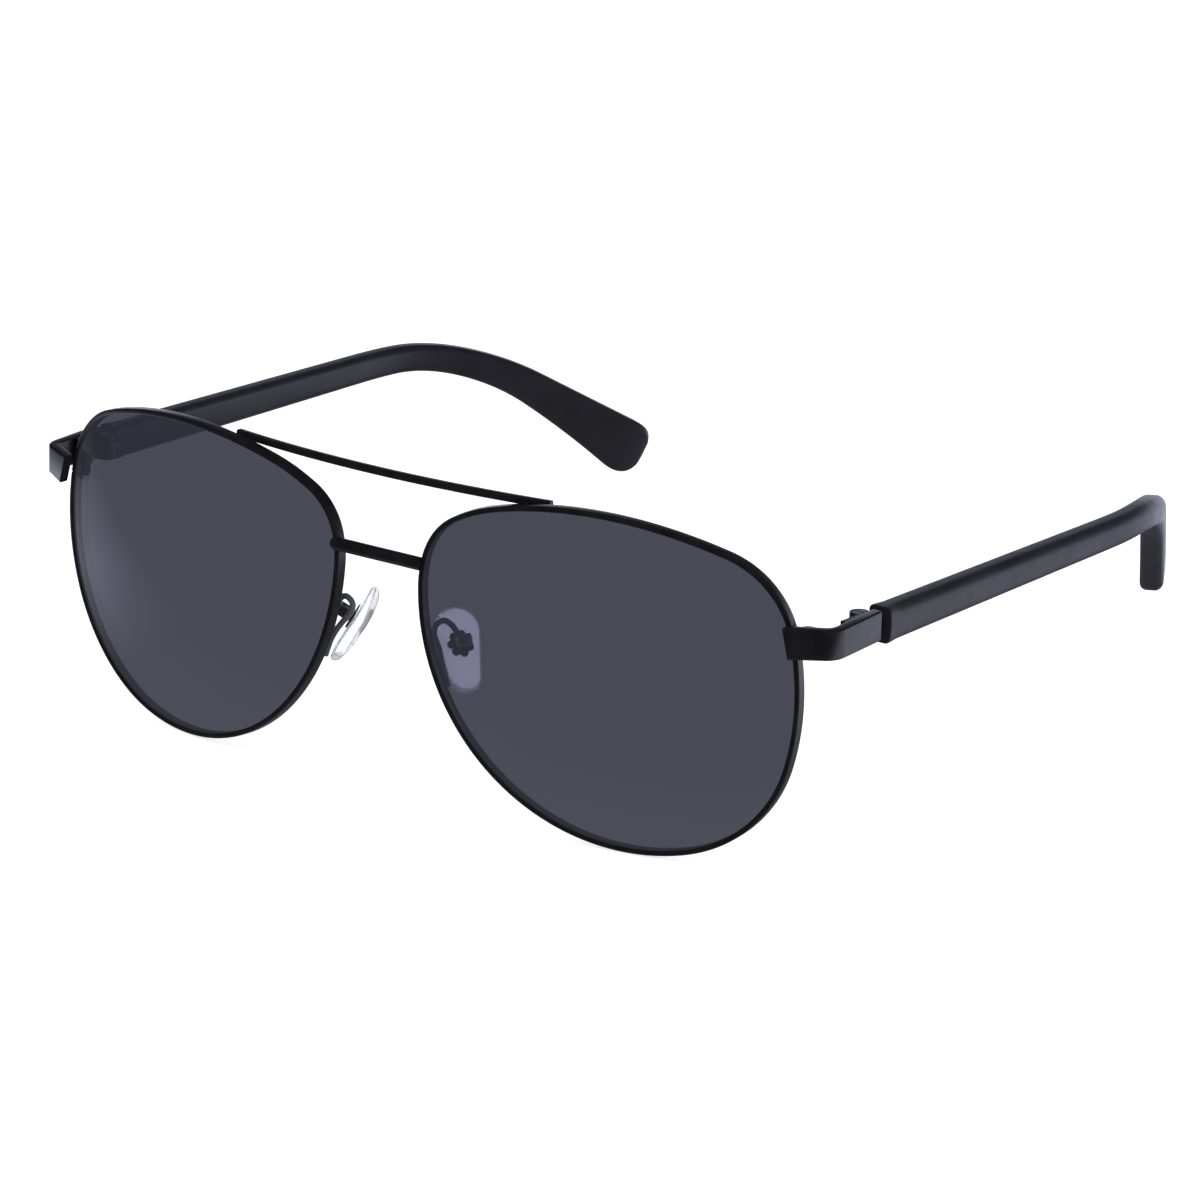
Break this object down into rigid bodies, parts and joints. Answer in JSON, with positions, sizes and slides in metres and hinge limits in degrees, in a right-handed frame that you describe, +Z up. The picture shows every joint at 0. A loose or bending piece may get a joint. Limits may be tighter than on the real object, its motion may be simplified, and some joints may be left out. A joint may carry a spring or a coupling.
{
  "type": "aviator sunglasses",
  "caption": "Black metal aviator sunglasses with teardrop tinted lenses, double bridge, silicone nose pads and folding plastic temples.",
  "frame": {"origin": "just above the middle of the bridge bar, on the mirror plane between the lenses", "axes": "+X is the wearer's left, +Y points back along the open temples, +Z is up"},
  "size_m": [0.1494, 0.1345, 0.0508],
  "materials": {
    "black_metal": "satin black lacquer on metal",
    "tinted_lens": "polished smoke-grey polarised plastic",
    "screw_steel": "dark plated steel",
    "hinge_steel": "black plated steel",
    "core_wire": "drawn nickel-silver wire, hidden in the temple",
    "temple_plastic": "satin moulded black plastic",
    "clear_silicone": "clear soft silicone",
    "pad_insert": "dark moulded insert"
  },
  "bodies": {
    "front": {"rim_left": "black_metal", "rim_right": "black_metal", "lens_left": "tinted_lens", "lens_right": "tinted_lens", "bridge": "black_metal", "brow_bar": "black_metal", "endpiece_left": "black_metal", "endpiece_right": "black_metal", "closing_block_upper_left": "black_metal", "closing_block_upper_right": "black_metal", "closing_block_lower_left": "black_metal", "closing_block_lower_right": "black_metal", "closing_screw_left": "screw_steel", "closing_screw_right": "screw_steel", "hinge_front_left": "hinge_steel", "hinge_front_right": "hinge_steel", "hinge_screw_left": "screw_steel", "hinge_screw_right": "screw_steel", "pad_arm_left": "black_metal", "pad_arm_right": "black_metal", "pad_screw_left": "screw_steel", "pad_screw_right": "screw_steel"},
    "temple_left": {"temple_left": "temple_plastic", "temple_core_left": "core_wire", "hinge_temple_left": "hinge_steel"},
    "temple_right": {"temple_right": "temple_plastic", "temple_core_right": "core_wire", "hinge_temple_right": "hinge_steel"},
    "nose_pad_left": {"nose_pad_left": "clear_silicone", "pad_insert_left": "pad_insert"},
    "nose_pad_right": {"nose_pad_right": "clear_silicone", "pad_insert_right": "pad_insert"}
  },
  "joints": [
    {"name": "temple_left_fold", "type": "hinge", "parent": "front", "child": "temple_left", "pos_m": [0.071, 0.0199, -0.0011], "axis": [0, 0, 1], "range_deg": [0, 86]},
    {"name": "temple_right_fold", "type": "hinge", "parent": "front", "child": "temple_right", "pos_m": [-0.071, 0.0199, -0.0011], "axis": [0, 0, -1], "range_deg": [0, 78]},
    {"name": "nose_pad_left_rock", "type": "hinge", "parent": "front", "child": "nose_pad_left", "pos_m": [0.01133, 0.00617, -0.01259], "axis": [-0.5, -0.866, 0], "range_deg": [-8, 8], "stiffness_Nm_per_rad": 0.002},
    {"name": "nose_pad_right_rock", "type": "hinge", "parent": "front", "child": "nose_pad_right", "pos_m": [-0.01133, 0.00617, -0.01259], "axis": [-0.5, 0.866, 0], "range_deg": [-8, 8], "stiffness_Nm_per_rad": 0.002}
  ]
}
